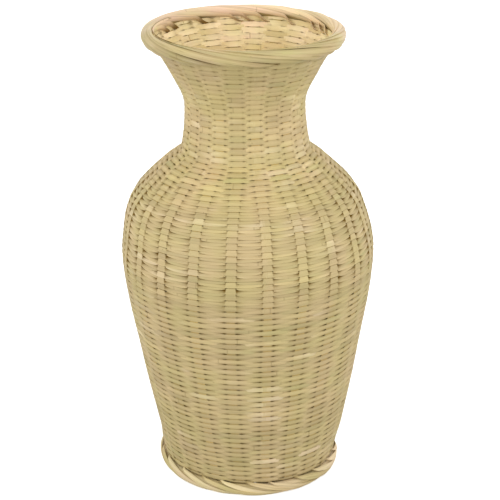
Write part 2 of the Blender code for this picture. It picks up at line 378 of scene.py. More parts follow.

# Holes that the borders' strands pass through, beside each stake, darkened with painted shade
RIM_HOLES = (0.006, 0.003)  # from so far below the lip, fully from so far
RIM_HOLES_MIDDLE = radians(140)
FOOT_HOLES = (0.004, 0.008)  # fully to so far above the foot, ending so far above it
FOOT_HOLES_FRONT = 0.25
HOLE_START, HOLE_END = (0.60, 0.76), (0.80, 0.97)  # on the way from stake to stake
HOLE_SIZE, HOLE_CHANCE = 0.8, 0.3
HOLE_NARROWING = 0.25
HOLE_SHADE = (0.3, 0.65)  # in the strip's middle, and more at its edges

# How the strips lie
LEVEL_CHANCE, PROUD_CHANCE = 0.00009, 0.00005
TIGHT_FLATTER, LOW_FLATTER = 0.3, 0.2
CROWN_LEAN, LEAN = (0.035, 0.050, 0.05), (0.03, 0.03, 0)  # at the belly, more low, more aside
CROWN_BULGE, BULGE = (0.00006, 0.00012, 0.00014), (0.00004, 0.00008, 0)
LAPPED, LAST_STEP = (STAKES - 0.25, STAKES - 0.06), 0.6  # where a row's last end goes in
LAP = 1.05  # and how far, in thicknesses

# Lightness of the strips: random, with painted light on the neck, under the rim's shade, and on the
# inner faces
LIGHT_CHANCE, NECK_CHANCE = 0.09, 0.03
NECK_PAINTED_LIGHT, NECK_COLUMNS, COLUMNS = 0.21, 0.06, 9
INSIDE_PAINTED_LIGHT, INSIDE_PALER = 0.50, 0.25

# How dark the painted shade in the hollows is
HOLLOW_INSIDE, UPPER_INSIDE = 0.5, 0.25
LOWER_EDGE = 0.30
CROWN_EDGE = (0.1, 0.2)
DARK, DARK_CHANCE = 0.85, 0.32
TIGHT_PALER, LOW_PALER, NECK_PALER = 0.7, 0.24, 0.12
SIDE_DARKER = 0.60
SHOULDER_PALER, SHOULDER_SIDES = 0.55, 0.75
DARK_LIMITS = (0.15, 1.5)


# How the stakes stray, in degrees: all alike on their way up, and each in waves, which change so
# fast from stake to stake and along it
DRIFT_FROM, DRIFT_BY, DRIFT_PART = -1.1, 1.6, (0.25, 0.75)
STRAY_SHIFT = 1.3
STRAY_WAVES = ((0.40, 2.1, 0), (0.35, 4.7, 5), (0.25, 1.3, 9))


def stake_sway(stake, reach):
    """How far a stake has strayed from its even place, as an angle."""
    stake = np.asarray(stake) % STAKES
    share = np.asarray(reach) / MERIDIAN.reach[-1]
    drift = DRIFT_BY * ease(*DRIFT_PART, share) + DRIFT_FROM
    for far, by_stake, by_share in STRAY_WAVES:
        shift = by_share * share if by_share else STRAY_SHIFT
        drift = drift + far * np.sin(by_stake * stake + shift)
    return np.radians(drift)


def stake_azimuth(stake, reach):
    """Azimuth of a stake's middle at a distance along the meridian."""
    return FIRST_STAKE + np.asarray(stake) * PITCH + stake_sway(stake, reach)


def interval_cuts(radius, low_look):
    """Where a strip's sections lie from one stake's middle to the next one's."""
    pitch = PITCH * radius
    leave = min(LEAVES[0] + LEAVES[1] * low_look, LEAVES_BY * pitch)
    gap = pitch / 2 - leave
    half = [share * leave for share in CROWN_SHARES]
    half += [leave + min(far, share * gap) for far, share in zip(EDGE_STEPS, EDGE_SHARES)]
    return np.array(half + [pitch / 2] + [pitch - cut for cut in reversed(half[1:])]) / pitch


class Zone:
    """Which parts of the wall a height belongs to, as shares."""

    def __init__(self, height):
        self.low_wall = 1 - ease(*LOW_WALL_END, height)
        self.upper = ease(*NECK_START, height)  # the neck and what is above it
        self.low_look = self.low_wall + UPPER_LOOK * self.upper  # the rows lie alike in both
        self.tight = (BELLY_TIGHT * ease(*BELLY_END, height)
                      + COLLAR_TIGHT * ease(*COLLAR_START, height))
        self.neck = self.upper * (1 - ease(*NECK_END, height))
        self.waist = self.neck * ease(*NECK_MIDDLE, height)
        self.shoulder = ease(*SHOULDER_START, height) * (1 - ease(*SHOULDER_END, height))


def row_layout(radius, low_look):
    """Each section's place in a row: stakes passed, the interval that it is in, its share of
    that, and how many sections it is from the stake that the row passes outside."""
    cuts = interval_cuts(radius, low_look)
    turns = np.concatenate([cuts + step for step in range(STAKES)]
                           + [[STAKES, STAKES + LAST_STEP * cuts[2]]])
    number = np.arange(len(turns))
    interval = np.minimum(number // STEPS_TO_STAKE, STAKES - 1)
    step = np.minimum(number - interval * STEPS_TO_STAKE, STEPS_TO_STAKE)
    away = np.where(interval % 2 == 1, step, STEPS_TO_STAKE - step)
    return turns, interval, turns - interval, away


def border_holes(reach, azimuth, share, open_pocket):
    """How much a section is drawn in where a border's strand passes through the wall."""
    by_rim = ease(*(MERIDIAN.reach[-1] - np.array(RIM_HOLES)), reach)
    by_foot = 1 - ease(*FOOT_HOLES, reach - MERIDIAN.wall_start)
    by_rim = by_rim * np.clip(np.cos(azimuth - RIM_HOLES_MIDDLE), 0, 1)
    by_foot = by_foot * (FOOT_HOLES_FRONT + (1 - FOOT_HOLES_FRONT) * np.cos(azimuth) ** 2)
    hole = ease(*HOLE_START, share) * (1 - ease(*HOLE_END, share))
    return hole * np.clip(HOLE_SIZE + HOLE_CHANCE * open_pocket, 0, 1) * (by_rim + by_foot)


def half_widths(zone, away, sideways, open_pocket):
    """Widths of a strip's upper and lower halves, which leave the pockets of the weave open."""
    pocket = (1 - zone.tight) * (POCKET + POCKET_SIDES * sideways + POCKET_EDGES * sideways ** 4)
    pocket = pocket * (1 + POCKET_CHANCE * open_pocket)
    even = 1 + UPPER_POCKET_SIDES * zone.upper * sideways
    pocket = np.clip(pocket + (even - pocket) * zone.low_look, *POCKET_LIMITS)
    narrowing = LOWER_WIDTH + (LOW_LOWER_WIDTH - LOWER_WIDTH) * zone.low_look - 1
    narrowing = narrowing * (1 - UPPER_STEADIER * zone.upper)
    share_up = UPPER_SHARE + (1 - UPPER_SHARE) * zone.low_look
    return (1 + narrowing[::-1][away] * pocket * share_up,
            np.maximum(1 + narrowing[away] * pocket, LEAST_WIDTH))


def strip_lie(zone, away, sideways, across, weave):
    """How far out each corner of each section lies."""
    side = sideways ** 3 * (1 - zone.low_look)

    def share(values):
        return values[0] + values[1] * zone.low_look + values[2] * side
    profile = LOWER_HALF + (LOW_LOWER_HALF - LOWER_HALF) * zone.low_look
    profile = profile * weave.wave * (1 - TIGHT_FLATTER * zone.tight - LOW_FLATTER * zone.low_wall)
    halves = np.where(UPPER_HALF, -profile[::-1][away][:, None],
                      profile[away][:, None])
    crown = away <= CROWN_STEPS
    lean = np.where(crown, share(CROWN_LEAN), share(LEAN))
    bulge = np.where(crown, share(CROWN_BULGE), share(BULGE))
    return (halves - bulge[:, None] * ACROSS ** 2 - lean[:, None] * across
            + weave.strip_thickness * OUT)


def strip_hollow(zone, away, sideways, dark, hole):
    """How dark each corner of each section is painted, as shade in the hollows, pockets and holes.
    """
    crown = away <= CROWN_STEPS
    table = HOLLOW + (LOW_HOLLOW - HOLLOW) * zone.low_look
    inside = HOLLOW_INSIDE - UPPER_INSIDE * zone.upper
    hollow = np.concatenate([table[away], inside * table[::-1][away]], 1)
    hollow[:, 5] = np.maximum(hollow[:, 4], np.where(
        crown, CROWN_EDGE[0] + CROWN_EDGE[1] * zone.low_look, LOWER_EDGE))
    depth = ((DARK + DARK_CHANCE * dark) * (1 - TIGHT_PALER * zone.tight)
             * (1 - LOW_PALER * zone.low_wall)
             * (1 + SIDE_DARKER * sideways ** 3 * (1 - zone.low_look))
             * (1 - NECK_PALER * zone.waist)
             * (1 - SHOULDER_PALER * zone.shoulder * (1 - sideways)))
    depth = depth + SHOULDER_SIDES * zone.shoulder * sideways ** 2
    hollow = hollow * np.clip(depth, *DARK_LIMITS)[:, None]
    shade = HOLE_SHADE[0] + HOLE_SHADE[1] * np.abs(ACROSS)
    return np.maximum(hollow, hole[:, None] * shade)


def woven_row(row, reach, weave, dice, waver):
    """One strip, woven once round the stakes, its two ends lapped behind one of them."""
    radius, height = MERIDIAN.at(reach)[0]
    zone = Zone(height)
    first = int(dice.integers(STAKES // 2)) * 2 + row % 2  # a stake that the row is behind
    turns, interval, share, away = row_layout(radius, zone.low_look)
    # irregular hand work: each crossing lies a little differently
    stakes = (first + turns) % STAKES
    high, proud, wide, dark, bright, open_pocket = (
        np.interp(stakes, np.arange(STAKES + 1), np.append(values, values[0]))
        for values in dice.normal(size=(6, STAKES)))
    level = reach + waver(stakes, row) + LEVEL_CHANCE * (1 + zone.low_look) * high
    low = stake_azimuth(first + interval, reach)
    azimuth = low + share * (stake_azimuth(first + interval + 1, reach) - low)
    sideways = np.cos(azimuth) ** 2  # 1 at the vase's left and right, 0 in front and behind
    hole = border_holes(reach, azimuth, share, open_pocket)
    half = weave.strip_width / 2 * (1 - HOLE_NARROWING * hole) * (
        1 + WIDTH_CHANCE[0] * wide + WIDTH_CHANCE[1] * float(dice.normal())
        - LOW_NARROWER * zone.low_look + UPPER_WIDER * zone.upper)
    upper, lower = half_widths(zone, away, sideways, open_pocket)
    across = half[:, None] * ACROSS * np.where(
        AT_EDGE, np.where(UPPER_HALF, upper[:, None], lower[:, None]), 1.0)
    lapped = ease(*LAPPED, turns)
    out = PROUD_CHANCE * proud - lapped * weave.strip_thickness * LAP
    out = strip_lie(zone, away, sideways, across, weave) + out[:, None]
    point, outward = MERIDIAN.at(level[:, None] + across)
    place = point + out[..., None] * outward
    azimuth = azimuth + 2 * pi * ((first + interval) // STAKES)
    corners = turned(place[..., 0], place[..., 1], azimuth[:, None])
    grain = spread((azimuth[:, None] * radius, across, row * ROW_GRAIN), across.shape)
    tone, light = strip_tone(dice, turns)
    columns = np.sin(COLUMNS * PITCH * stakes + 1)
    # random lightness at each crossing, and painted light on the neck, which lies in the rim's
    # shade
    light = (light + (LIGHT_CHANCE + NECK_CHANCE * zone.neck) * bright
             + zone.neck * (NECK_PAINTED_LIGHT + NECK_COLUMNS * columns))
    hollow = strip_hollow(zone, away, sideways, dark, hole)
    # the inner faces are paler in tone and painted lighter, as painted light
    tint = spread((tone[:, None] + INSIDE_PALER * INNER_FACE,
                   light[:, None] + INSIDE_PAINTED_LIGHT * INNER_FACE, hollow), across.shape)
    return corners, grain, tint


# A row's tint and lightness: in the middle, by chance, at a new length and in slow waves
ROW_TONES = np.array(((0.46, 0.5), (0.05, 0.05), (0.07, 0.06), (0.04, 0.03)))
TINT_LIMITS = (0.1, 0.85)


def strip_tone(dice, turns):
    """Tint and lightness along a row: a slow drift, with a jump where a new length starts."""
    middle, chance, jump, drift = ROW_TONES[..., None]
    tones = middle + chance * dice.normal(size=(2, 1)) + 0 * turns
    for _ in range(int(dice.integers(0, 3))):
        here = turns > dice.random() * STAKES
        tones += here * dice.normal(size=(2, 1)) * jump
    for waves in (1, 2, 3):
        phase = dice.random((2, 1)) * 2 * pi
        tones += drift * np.sin(waves * turns * PITCH + phase)
    return np.clip(tones[0], *TINT_LIMITS), tones[1]


WAVER, WAVER_RATES = 0.00010, (0.02, 0.09)  # its height, and its change from row to row


def slow_waver(dice):
    """A smooth up and down of the rows, so that neighbours move together."""
    waves = [(int(dice.integers(1, 5)), dice.random() * WAVER_RATES[1] + WAVER_RATES[0],
              dice.random() * 2 * pi) for _ in range(6)]

    def waver(stakes, row):
        return sum(WAVER * np.sin(turns * stakes * PITCH + rate * row + phase)
                   for turns, rate, phase in waves)
    return waver


CLEAR_OF_MAT = 0.55  # from the mat's edge to the first row, in rows
BEYOND_LIP, SEARCH_STEP = 0.006, 0.0001  # the last row is looked for from here down


def row_levels(weave):
    """Middles of all rows, from the base mat's edge to the rim."""
    start = MAT_GRIP + weave.row_pitch * CLEAR_OF_MAT
    end = MERIDIAN.reach[-1] + BEYOND_LIP
    while np.linalg.norm(MERIDIAN.at(end)[0] - RIM_MIDDLE) < HOOP_RADIUS:
        end -= SEARCH_STEP
    count = int((end - start) / weave.row_pitch)
    return start + (end - start) * np.arange(count + 1) / count


def nodes_of(kind):
    """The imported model's nodes whose names start so."""
    return sorted(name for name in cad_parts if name.startswith(kind))


def rows_by_course(weave):
    """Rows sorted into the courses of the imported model: {node: [(row, level), ...]}."""
    walls, bases = nodes_of("wall_course"), nodes_of("base_course")
    joints = [(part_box(low)[1].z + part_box(high)[0].z) / 2 for low, high in zip(walls, walls[1:])]
    base_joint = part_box(bases[0])[1].x
    found = {name: [] for name in bases + walls}
    for row, level in enumerate(row_levels(weave)):
        radius, height = MERIDIAN.at(level)[0]
        if level < MERIDIAN.wall_start - BEND:
            name = bases[int(radius >= base_joint)]
        else:
            name = walls[sum(height > joint for joint in joints)]
        found[name].append((row, float(level)))
    return found


# ---- finishes

class Link:
    """A socket that can stand in a sum: an expression adds the Math nodes it needs."""

    def __init__(self, tree, socket):
        self.tree = tree
        self.socket = socket

    def _maths(self, operation, *values):
        return new_node(self.tree, "Math", dict(enumerate(values)), operation=operation)

    def __add__(self, other):
        return self._maths("ADD", self, other)

    __radd__ = __add__

    def __sub__(self, other):
        return self._maths("SUBTRACT", self, other)

    def __rsub__(self, other):
        return self._maths("SUBTRACT", other, self)

    def __mul__(self, other):
        return self._maths("MULTIPLY", self, other)

    __rmul__ = __mul__

    def __abs__(self):
        return self._maths("ABSOLUTE", self)

    def fraction(self):
        return self._maths("FRACT", self)

    def band(self, low, high):
        """0 below low, 1 above high, smooth between."""
        return new_node(self.tree, "MapRange", {"Value": self, "From Min": low, "From Max": high},
                        "Result", interpolation_type="SMOOTHSTEP")


def new_node(tree, kind, inputs=None, output=0, **settings):
    """A node of any kind, and a link from it: its settings first, then its sockets."""
    node = tree.nodes.new("ShaderNode" + kind)
    for key, value in settings.items():
        if key == "stops":
            set_stops(node.color_ramp, value)
        else:
            setattr(node, key, value)
    for key, value in (inputs or {}).items():
        feed(tree, node.inputs[key], value)
    return Link(tree, node.outputs[output])


def set_stops(ramp, stops):
    while len(ramp.elements) < len(stops):
        ramp.elements.new(1.0)
    for element, (position, colour) in zip(ramp.elements, stops):
        element.position = position
        element.color = (*colour, 1.0)


def feed(tree, socket, value):
    """Link a value to a socket, or set it there."""
    if isinstance(value, Link):
        tree.links.new(value.socket, socket)
    elif hasattr(value, "__len__") and socket.type == "RGBA":
        socket.default_value = (*value[:3], 1.0)
    else:
        socket.default_value = value


def show_camera(tree, output, seen, otherwise):
    """Let the camera see another shader than the one that throws light on the scene."""
    camera = new_node(tree, "LightPath", output="Is Camera Ray")
    choice = new_node(tree, "MixShader", {0: camera, 1: otherwise, 2: seen})
    feed(tree, tree.nodes[output].inputs["Surface"], choice)


class Finish:
    """A material in the making."""

    def __init__(self, name):
        self.material = bpy.data.materials.new(name)
        self.material.use_nodes = True
        self.tree = self.material.node_tree
        self.shader = self.tree.nodes["Principled BSDF"]

    def node(self, *details, **more):
        return new_node(self.tree, *details, **more)

    def attribute(self, name, part):
        """x, y or z of a piece's own attribute."""
        whole = self.node("Attribute", output="Vector", attribute_name=name)
        return self.node("SeparateXYZ", {0: whole}, part)

    def noise(self, vector, detail=2.0, scale=1.0, roughness=0.5):
        return self.node("TexNoise", {
            "Vector": vector, "Scale": scale, "Detail": detail, "Roughness": roughness})

    def mix(self, share, first, second, blend="MIX"):
        """A colour between two others."""
        return self.node("Mix", {0: share, 6: first, 7: second}, 2, data_type="RGBA",
                         blend_type=blend)

    def set(self, **inputs):
        for key, value in inputs.items():
            feed(self.tree, self.shader.inputs[key.replace("_", " ")], value)
        return self.material


# Noise in the cane: how fast it changes along and across a strip, and from strip to strip
DRIFT, FIBRES, STREAKS = (24, 60, 5), (30, 4200, 3), (16, 1100, 7)
SPECKS, SPLITS = (420, 900, 11), (7, 620, 13)
# and over the whole vase
BLOTCH_SCALE, SAP_SCALE, SHADE_PATCH_SCALE = 17.0, 36.0, 26.0
DRIFT_TONE, BLOTCH_TONE = 0.7, 0.5
GREENISH, PINKISH = (0.98, 1.007, 0.935), (1.02, 0.99, 1.03)
LIGHT_SHADE, FIBRE_SHADE, STREAK_SHADE, EDGE_SHADE = 0.5, 0.45, 0.34, 0.05
NODES_PER_METRE, NODE_SHIFT, NODE_SHARPNESS = 2.6, 4.7, 620
NODE_DARK, SPECK_DARK = 0.30, 0.5
SPLIT_BAND = 0.035
# painted shade in the hollows: at least so much of it, and more in patches
SHADE_LEAST, SHADE_MORE = 0.62, 0.38
BUMP_HEIGHT = 0.00012
FIBRE_BUMP, STREAK_BUMP, NODE_BUMP = 0.8, 0.5, 1.2
FIBRE_ROUGH, DRIFT_ROUGH, HOLLOW_ROUGH = 0.25, 0.12, 0.35
GLOSS = 0.27


def cane_finish(name, colours, stops, width, roughness=0.5, depth=0.5, splits=0.0):
    """Split cane: long fibres, tinted lengths, nodes, specks, lighter edges and hollows darkened
    with painted shade.
    """
    finish = Finish(name)
    along, across, seed = (finish.attribute("grain", part) for part in "XYZ")
    # the tint's third part is the painted shade in the hollows
    tone, light, hollow = (finish.attribute("tint", part) for part in "XYZ")

    def grain(lengthways, crossways, shift, detail=2, roughness=0.5):
        vector = finish.node("CombineXYZ", {
            0: along * lengthways, 1: across * crossways, 2: seed * shift})
        return finish.noise(vector, detail, roughness=roughness)
    drift = grain(*DRIFT)
    place = finish.node("TexCoord", output="Object")
    blotch = finish.noise(place, detail=1, scale=BLOTCH_SCALE)
    base = finish.node("ValToRGB", {
        0: tone + (drift - 0.5) * DRIFT_TONE + (blotch - 0.5) * BLOTCH_TONE}, stops=stops)
    sap = finish.noise(place, detail=2, scale=SAP_SCALE).band(0.32, 0.68)
    base = finish.mix(1.0, base, finish.mix(sap, GREENISH, PINKISH), "MULTIPLY")
    fibres = grain(*FIBRES, detail=3, roughness=0.7)
    streaks = grain(*STREAKS)
    shade = (1 + (light - 0.5) * LIGHT_SHADE + (fibres - 0.5) * FIBRE_SHADE
             + (streaks - 0.5) * STREAK_SHADE)
    edge = abs(across * (2 / width)).band(0.80, 1.0)
    shade = shade * (1 + edge * EDGE_SHADE)
    grey = finish.node("CombineColor", dict.fromkeys(range(3), shade))
    colour = finish.mix(1.0, base, grey, "MULTIPLY")
    from_node = (along * NODES_PER_METRE + seed * NODE_SHIFT).fraction()
    ring = 1 - abs((from_node - 0.5) * NODE_SHARPNESS).band(0.0, 1.5)
    specks = grain(*SPECKS, detail=1).band(0.75, 0.82)
    colour = finish.mix(ring * NODE_DARK + specks * SPECK_DARK, colour, colours.bark)
    if splits:
        split = 1 - abs(grain(*SPLITS, detail=1) - 0.5).band(0.0, SPLIT_BAND)
        colour = finish.mix(split * splits, colour, colours.hollow)
    # painted shade: the hollows are mixed towards the hollow brown, more in some patches
    shade_patch = finish.noise(place, detail=2, scale=SHADE_PATCH_SCALE).band(0.30, 0.66)
    colour = finish.mix(hollow * (SHADE_LEAST + shade_patch * SHADE_MORE), colour, colours.hollow)
    bump = finish.node("Bump", {
        "Strength": depth, "Distance": BUMP_HEIGHT,
        "Height": fibres * FIBRE_BUMP + streaks * STREAK_BUMP + ring * NODE_BUMP})
    rough = (roughness + (fibres - 0.5) * FIBRE_ROUGH + (drift - 0.5) * DRIFT_ROUGH
             + hollow * HOLLOW_ROUGH)
    return finish.set(Base_Color=colour, Roughness=rough, Normal=bump, Specular_IOR_Level=GLOSS)


def finish_for(slot):
    """The cane finish of a slot, made the first time that it is asked for."""
    scene = bpy.context.scene
    green, straw, pale, peach, core = (
        np.array(getattr(scene.vase_colours, key))
        for key in ("green", "straw", "pale", "peach", "core"))
    strip, strand = scene.vase_weave.strip_width, scene.vase_border.strand_width
    name, stops, *rest = {
        "weaver": ("split_cane", (
            (0.0, green), (0.36, straw), (0.56, straw), (0.78, pale), (1.0, peach)), strip),
        "border": ("border_cane", ((0.0, green), (0.3, straw), (0.55, pale), (1.0, peach)),
                   strand, 0.42, 0.4, 0.26),
        "stake": ("stake_cane", ((0.0, core), (1.0, core * 1.3)), STAKE_WIDTH, 0.6, 0.6),
        "base_weave": ("base_cane", (
            (0.0, green * 0.8), (0.5, straw * 0.85), (1.0, pale * 0.9)), strip, 0.58, 0.5),
    }[slot]
    return bpy.data.materials.get(name) or cane_finish(name, scene.vase_colours, stops, *rest)


# ---- operators

class VASE_OT_stand_stakes(bpy.types.Operator):
    """Stand the upright stakes, each one strip from the base mat to the rim"""

    bl_idname = "vase.stand_stakes"
    bl_label = "Stand the Stakes"

    def execute(self, context):
        dice = np.random.default_rng(context.scene.vase_weave.seed + 1)
        strip = Strip(STAKE_SECTIONS)
        reach = np.linspace(0.0, MERIDIAN.reach[-1] + STAKE_TIP, STAKE_SECTIONS)
        across = np.tile(STAKE_WIDTH / 2 * ACROSS, (STAKE_SECTIONS, 1))
        point, outward = MERIDIAN.at(reach)
        place = point[:, None] + outward[:, None] * STAKE_THICKNESS * OUT[:, None]
        for number in range(STAKES):
            azimuth = stake_azimuth(number, reach)
            corners = turned(place[..., 0], place[..., 1], azimuth[:, None])
            sideways = np.stack([np.sin(azimuth), -np.cos(azimuth), 0 * azimuth], -1)
            corners += across[..., None] * sideways[:, None]
            grain = spread((reach[:, None], across, number * STAKE_GRAIN), across.shape)
            tint = spread((dice.random(), dice.random(), STAKE_SHADE), across.shape)
            add_piece(f"stake_cane_{number + 1:02d}", strip, [(corners, grain, tint)],
                      "stake", f"stake_{number + 1:02d}")
        return {"FINISHED"}


class VASE_OT_weave_rows(bpy.types.Operator):
    """Weave the rows of the wall and of the base, one strip to a row"""

    bl_idname = "vase.weave_rows"
    bl_label = "Weave the Rows"

    def execute(self, context):
        weave = context.scene.vase_weave
        dice = np.random.default_rng(weave.seed)
        waver = slow_waver(dice)
        strip = Strip(STAKES * STEPS_TO_STAKE + 2)
        for node, rows in rows_by_course(weave).items():
            if not rows:
                raise RuntimeError(f"no row falls in {node}")
            runs = [woven_row(row, level, weave, dice, waver) for row, level in rows]
            add_piece(node.replace("course", "weave"), strip, runs,
                      "base_weave" if node.startswith("base") else "weaver", node)
        return {"FINISHED"}


BORDER_SECTIONS = 81
RIM_LEANS = (radians(-88), radians(228))  # from under the lip, out and over it
FOOT_LEANS = (radians(66), radians(-272))  # from the wall, out and under it
SPLIT_LEANS = (radians(110), radians(154))
RIM_LEAD = (-0.0030, -0.0026)  # the rim's strands come out under the lip
RIM_TAIL = (-0.0030, -0.0034)  # and go back in inside, a little lower
FOOT_LEAD = (-0.0026, 0.0037)  # so do the foot's
FOOT_LONGER = 1.08
SPLIT_START, SPLIT_SPAN = radians(228), radians(-82)
# painted shade on the strands' tucked tips is darkest here
DARKEST_TIP_SHADE = radians(140)  # round the rim
LEAD_END, TAIL = 0.26, (0.93, 0.985)  # shares where its lead has faded, and its tail comes
STEEP, STEEPER = 0.06, 0.05  # it climbs faster at its ends
BOW, BOW_WAVES, LEAN_CHANCE, SPAN_CHANCE = 0.10, 5, 0.05, 0.05
WIDER, BREADTH_CHANCE = 1.10, 0.10
LIFT_CHANCE, LIFT, LIFT_WAVES = 0.0004, 0.0002, 9
PHASES, GRAINS = 6, 9  # the waves' starts and the strands' grains are drawn from so many
END_WIDTH, POINTED = 0.30, (0.11, 0.02, 0.05)  # share narrowed: start, tail or loose end
TUCKED = (0.12, 0.05)  # share over which it comes out, at the rim and at the foot
CLEAR_OF_HOOP = 0.00035
END_SINK = 0.0007  # how far its ends lie deeper in
OVERLAP = 0.16  # slope over the strand beside it
START_SHADE, END_SHADE = (0.01, 0.05), (0.935, 0.97)
COVERED, FOOT_COVERED = 0.40, 0.22  # shade of the covered edge
RIM_START, FOOT_START = 0.025, 0.03  # how far it starts from its stake, by chance
RIM_SEED, FOOT_SEED, MAT_SEED = 31, 47, 59
RIM_HOOP_SHADE, FOOT_HOOP_SHADE = 0.6, 0.1
SPLIT_WIDTH, SPLIT_LIFT, SPLIT_TONE, SPLIT_ENDS = 0.45, 0.0008, 0.85, 0.6
FRONT, FRONT_TURN = (-0.35, 0.75), 0.25
RIM_TONE, RIM_GREENER, RIM_TONE_CHANCE = 0.80, 0.62, 0.09
BORDER_LIGHT, RIM_FRONT_SHADE, RIM_LIGHT_CHANCE = 0.73, 0.15, 0.14
TIP_SHADE = 0.35  # at the least
FOOT_TONE, FOOT_TONE_CHANCE, FOOT_TONE_WAVE, FOOT_TONE_WAVES = 0.45, 0.11, 0.05, 3
FOOT_LIGHT_CHANCE, FOOT_ENDS = 0.09, 0.3


def rolled_strand(centre, start, span, leans, border, dice, lead=(0.0, 0.0), tail=(0.0, 0.0),
                  split=1.0, lift=0.0):
    """One flat strand laid slantwise over a border's hoop: its corners, grain and azimuths.

    It starts off the hoop by its lead, a way outwards and a way up, and ends so by its tail.
    """
    share = np.linspace(0, 1, BORDER_SECTIONS)
    turn = ((1 - 2 * STEEPER) * share + STEEPER * ease(0, STEEP, share)
            + STEEPER * ease(1 - STEEP, 1, share))
    lean = (leans[0] + (leans[1] - leans[0]) * turn
            + BOW * np.sin(share * BOW_WAVES + dice.random() * PHASES)
            + LEAN_CHANCE * dice.normal())
    azimuth = start + span * (1 + SPAN_CHANCE * dice.normal()) * share
    ends = ease(0, POINTED[0], share) * ease(0, POINTED[1 + (not tail[1])], 1 - share)
    half = border.strand_width / 2 * WIDER * split * (1 + BREADTH_CHANCE * dice.normal())
    half = half * (END_WIDTH + (1 - END_WIDTH) * ends)
    thick = border.strand_thickness
    middle = (HOOP_RADIUS + CLEAR_OF_HOOP + thick / 2 + lift + LIFT_CHANCE * dice.random()
              + LIFT * np.sin(share * LIFT_WAVES + dice.random() * PHASES)
              - END_SINK * (1 - ends))
    way = 1 if span * (leans[1] - leans[0]) > 0 else -1
    # turned over where the strand runs the other way, so that it faces outwards
    across = half[:, None] * ACROSS * (-1 if span > 0 else 1)
    reach = middle[:, None] + thick * OUT + OVERLAP * across
    lean = lean[:, None] + way * across / middle[:, None]
    radius, height = centre[0] + reach * np.cos(lean), centre[1] + reach * np.sin(lean)
    leading = 1 - ease(0, LEAD_END, share)
    tucked = 1 - ease(0, TUCKED[lead[1] > 0], share)
    tailing = ease(*TAIL, share)
    radius = radius + (lead[0] * tucked + tail[0] * tailing)[:, None]
    height = height + (lead[1] * leading + tail[1] * tailing)[:, None]
    height = np.maximum(height, 0.0)  # worn flat on the floor
    length_along = share[:, None] * abs(span) * centre[0]
    grain = spread((length_along, across, dice.random() * GRAINS), across.shape)
    return turned(radius, height, azimuth[:, None]), grain, azimuth


def strand_tint(tone, light, ends, grain, edge=COVERED):
    """A strand's tint: shaded at its tucked ends and along its covered edge."""
    share = np.linspace(0, 1, BORDER_SECTIONS)
    tucked = np.maximum(1 - ease(*START_SHADE, share), ends * ease(*END_SHADE, share))
    covered = edge * (AT_EDGE & (grain[0, :, 1] < 0))
    hollow = np.maximum(tucked[:, None], covered[None, :])
    return spread((np.clip(tone, 0, 1)[:, None], light, hollow), grain.shape[:2])


def rim_strand(stake, border, dice):
    """A strand that comes out beside a stake, greenish in front and peach behind, and darker in
    front with painted shade.
    """
    start = stake_azimuth(stake, MERIDIAN.reach[-1]) + RIM_START * dice.normal()
    corners, grain, azimuth = rolled_strand(
        RIM_MIDDLE, start, -border.strand_reach, RIM_LEANS, border, dice, RIM_LEAD, RIM_TAIL)
    front = ease(*FRONT, -np.sin(azimuth + FRONT_TURN))
    tone = RIM_TONE - RIM_GREENER * front + RIM_TONE_CHANCE * dice.normal()
    # painted shade: the strands are darker in front
    light = BORDER_LIGHT - RIM_FRONT_SHADE * front[:, None] + RIM_LIGHT_CHANCE * dice.normal()
    # painted shade on its tucked tip, darkest round the far left of the rim
    tip = TIP_SHADE + (1 - TIP_SHADE) * max(0.0, cos(azimuth[-1] - DARKEST_TIP_SHADE))
    return corners, grain, strand_tint(tone, light, tip, grain)


def split_strand(border, dice):
    """Half of a rim strand that has split at the far left and lies loose inside."""
    corners, grain, _ = rolled_strand(RIM_MIDDLE, SPLIT_START, SPLIT_SPAN, SPLIT_LEANS, border,
                                      dice, split=SPLIT_WIDTH, lift=SPLIT_LIFT)
    tone = np.full(BORDER_SECTIONS, SPLIT_TONE)
    # shaded along its other edge, where the gap is
    return corners, grain, strand_tint(tone, SPLIT_TONE, SPLIT_ENDS, -grain, 1.0)


def foot_strand(stake, border, dice):
    """A strand that comes out of the wall beside a stake and goes round under the foot."""
    start = stake_azimuth(stake, MERIDIAN.wall_start) + FOOT_START * dice.normal()
    corners, grain, azimuth = rolled_strand(
        FOOT_MIDDLE, start, border.foot_reach * FOOT_LONGER, FOOT_LEANS, border, dice, FOOT_LEAD)
    tone = (FOOT_TONE + FOOT_TONE_CHANCE * dice.normal()
            + FOOT_TONE_WAVE * np.sin(azimuth * FOOT_TONE_WAVES + stake))
    light = BORDER_LIGHT + FOOT_LIGHT_CHANCE * dice.normal()
    return corners, grain, strand_tint(tone, light, FOOT_ENDS, grain, FOOT_COVERED)


def roll_border(context, part, centre, lay, seed, hollow, loose=None):
    """Lay a strand from every stake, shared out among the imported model's, round a hoop."""
    border = context.scene.vase_border
    dice = np.random.default_rng(seed)
    strip = Strip(BORDER_SECTIONS)
    nodes = nodes_of(part + "_strand")
    for number, node in enumerate(nodes):
        runs = [lay(stake, border, dice) for stake in range(number, STAKES, len(nodes))]
        if loose and node == nodes[-1]:
            runs.append(loose(border, dice))
        add_piece(node.replace("strand", "cane"), strip, runs, "border", node)
    add_hoop(part + "_core", centre, part + "_hoop", hollow)


class VASE_OT_roll_rim(bpy.types.Operator):
    """Roll the rim: a hoop over the tips of the stakes, and the strands laid over it"""

    bl_idname = "vase.roll_rim"
    bl_label = "Roll the Rim"

    def execute(self, context):
        roll_border(context, "rim", RIM_MIDDLE, rim_strand, RIM_SEED, RIM_HOOP_SHADE,
                    split_strand)
        return {"FINISHED"}


